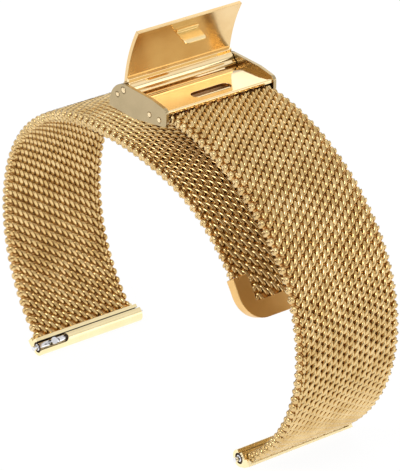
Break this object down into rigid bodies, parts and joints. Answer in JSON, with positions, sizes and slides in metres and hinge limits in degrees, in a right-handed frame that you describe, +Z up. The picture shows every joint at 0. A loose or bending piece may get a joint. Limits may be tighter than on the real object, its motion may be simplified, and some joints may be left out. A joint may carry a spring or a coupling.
{
  "type": "mesh watch band",
  "caption": "Woven milanese mesh watch band with a sliding fold-over clasp standing open on the short strap and quick-release spring bars in the lug tubes.",
  "frame": {"origin": "middle of the whole band's box, at the floor it stands on", "axes": "+X along the loop from the long strap's lug to the short strap's lug, +Y across the band, +Z up"},
  "size_m": [0.0816, 0.023, 0.0678],
  "materials": {
    "mesh_gold": "polished woven wire, gold tone",
    "polished_gold": "polished, gold tone",
    "pin_gold": "polished, gold tone",
    "bar_steel": "bright steel"
  },
  "bodies": {
    "band": {"clasp_base_plate": "polished_gold", "clasp_deck": "polished_gold", "clasp_far_side_plate": "polished_gold", "clasp_near_side_plate": "polished_gold", "flap_hinge_pin": "pin_gold", "front_strap_pin": "pin_gold", "long_bar_barrel": "bar_steel", "long_bar_fixed_pin": "bar_steel", "long_bar_spring": "bar_steel", "long_lug_tube": "polished_gold", "long_mesh_strap": "mesh_gold", "rear_cross_pin": "pin_gold", "short_bar_barrel": "bar_steel", "short_bar_fixed_pin": "bar_steel", "short_bar_spring": "bar_steel", "short_lug_tube": "polished_gold", "short_mesh_strap": "mesh_gold", "strap_clamp_plate": "polished_gold", "strap_end_tip": "polished_gold", "strap_guide_pin": "pin_gold"},
    "flap": {"flap_cover": "polished_gold", "flap_cam": "polished_gold", "flap_hook": "polished_gold"},
    "long_release": {"long_bar_sliding_pin": "bar_steel", "long_bar_release_knob": "bar_steel"},
    "short_release": {"short_bar_sliding_pin": "bar_steel", "short_bar_release_knob": "bar_steel"}
  },
  "joints": [
    {"name": "flap_hinge", "type": "hinge", "parent": "band", "child": "flap", "pos_m": [-0.00123, 0, 0.05715], "axis": [0, 1, 0], "range_deg": [-28, 71.5]},
    {"name": "long_release_slide", "type": "slide", "parent": "band", "child": "long_release", "axis": [0, 1, 0], "range_m": [0, 0.0013], "stiffness_N_per_m": 1500, "springref_m": -0.0015, "deforming": ["long_bar_spring"]},
    {"name": "short_release_slide", "type": "slide", "parent": "band", "child": "short_release", "axis": [0, -1, 0], "range_m": [0, 0.0013], "stiffness_N_per_m": 1500, "springref_m": -0.0015, "deforming": ["short_bar_spring"]}
  ]
}
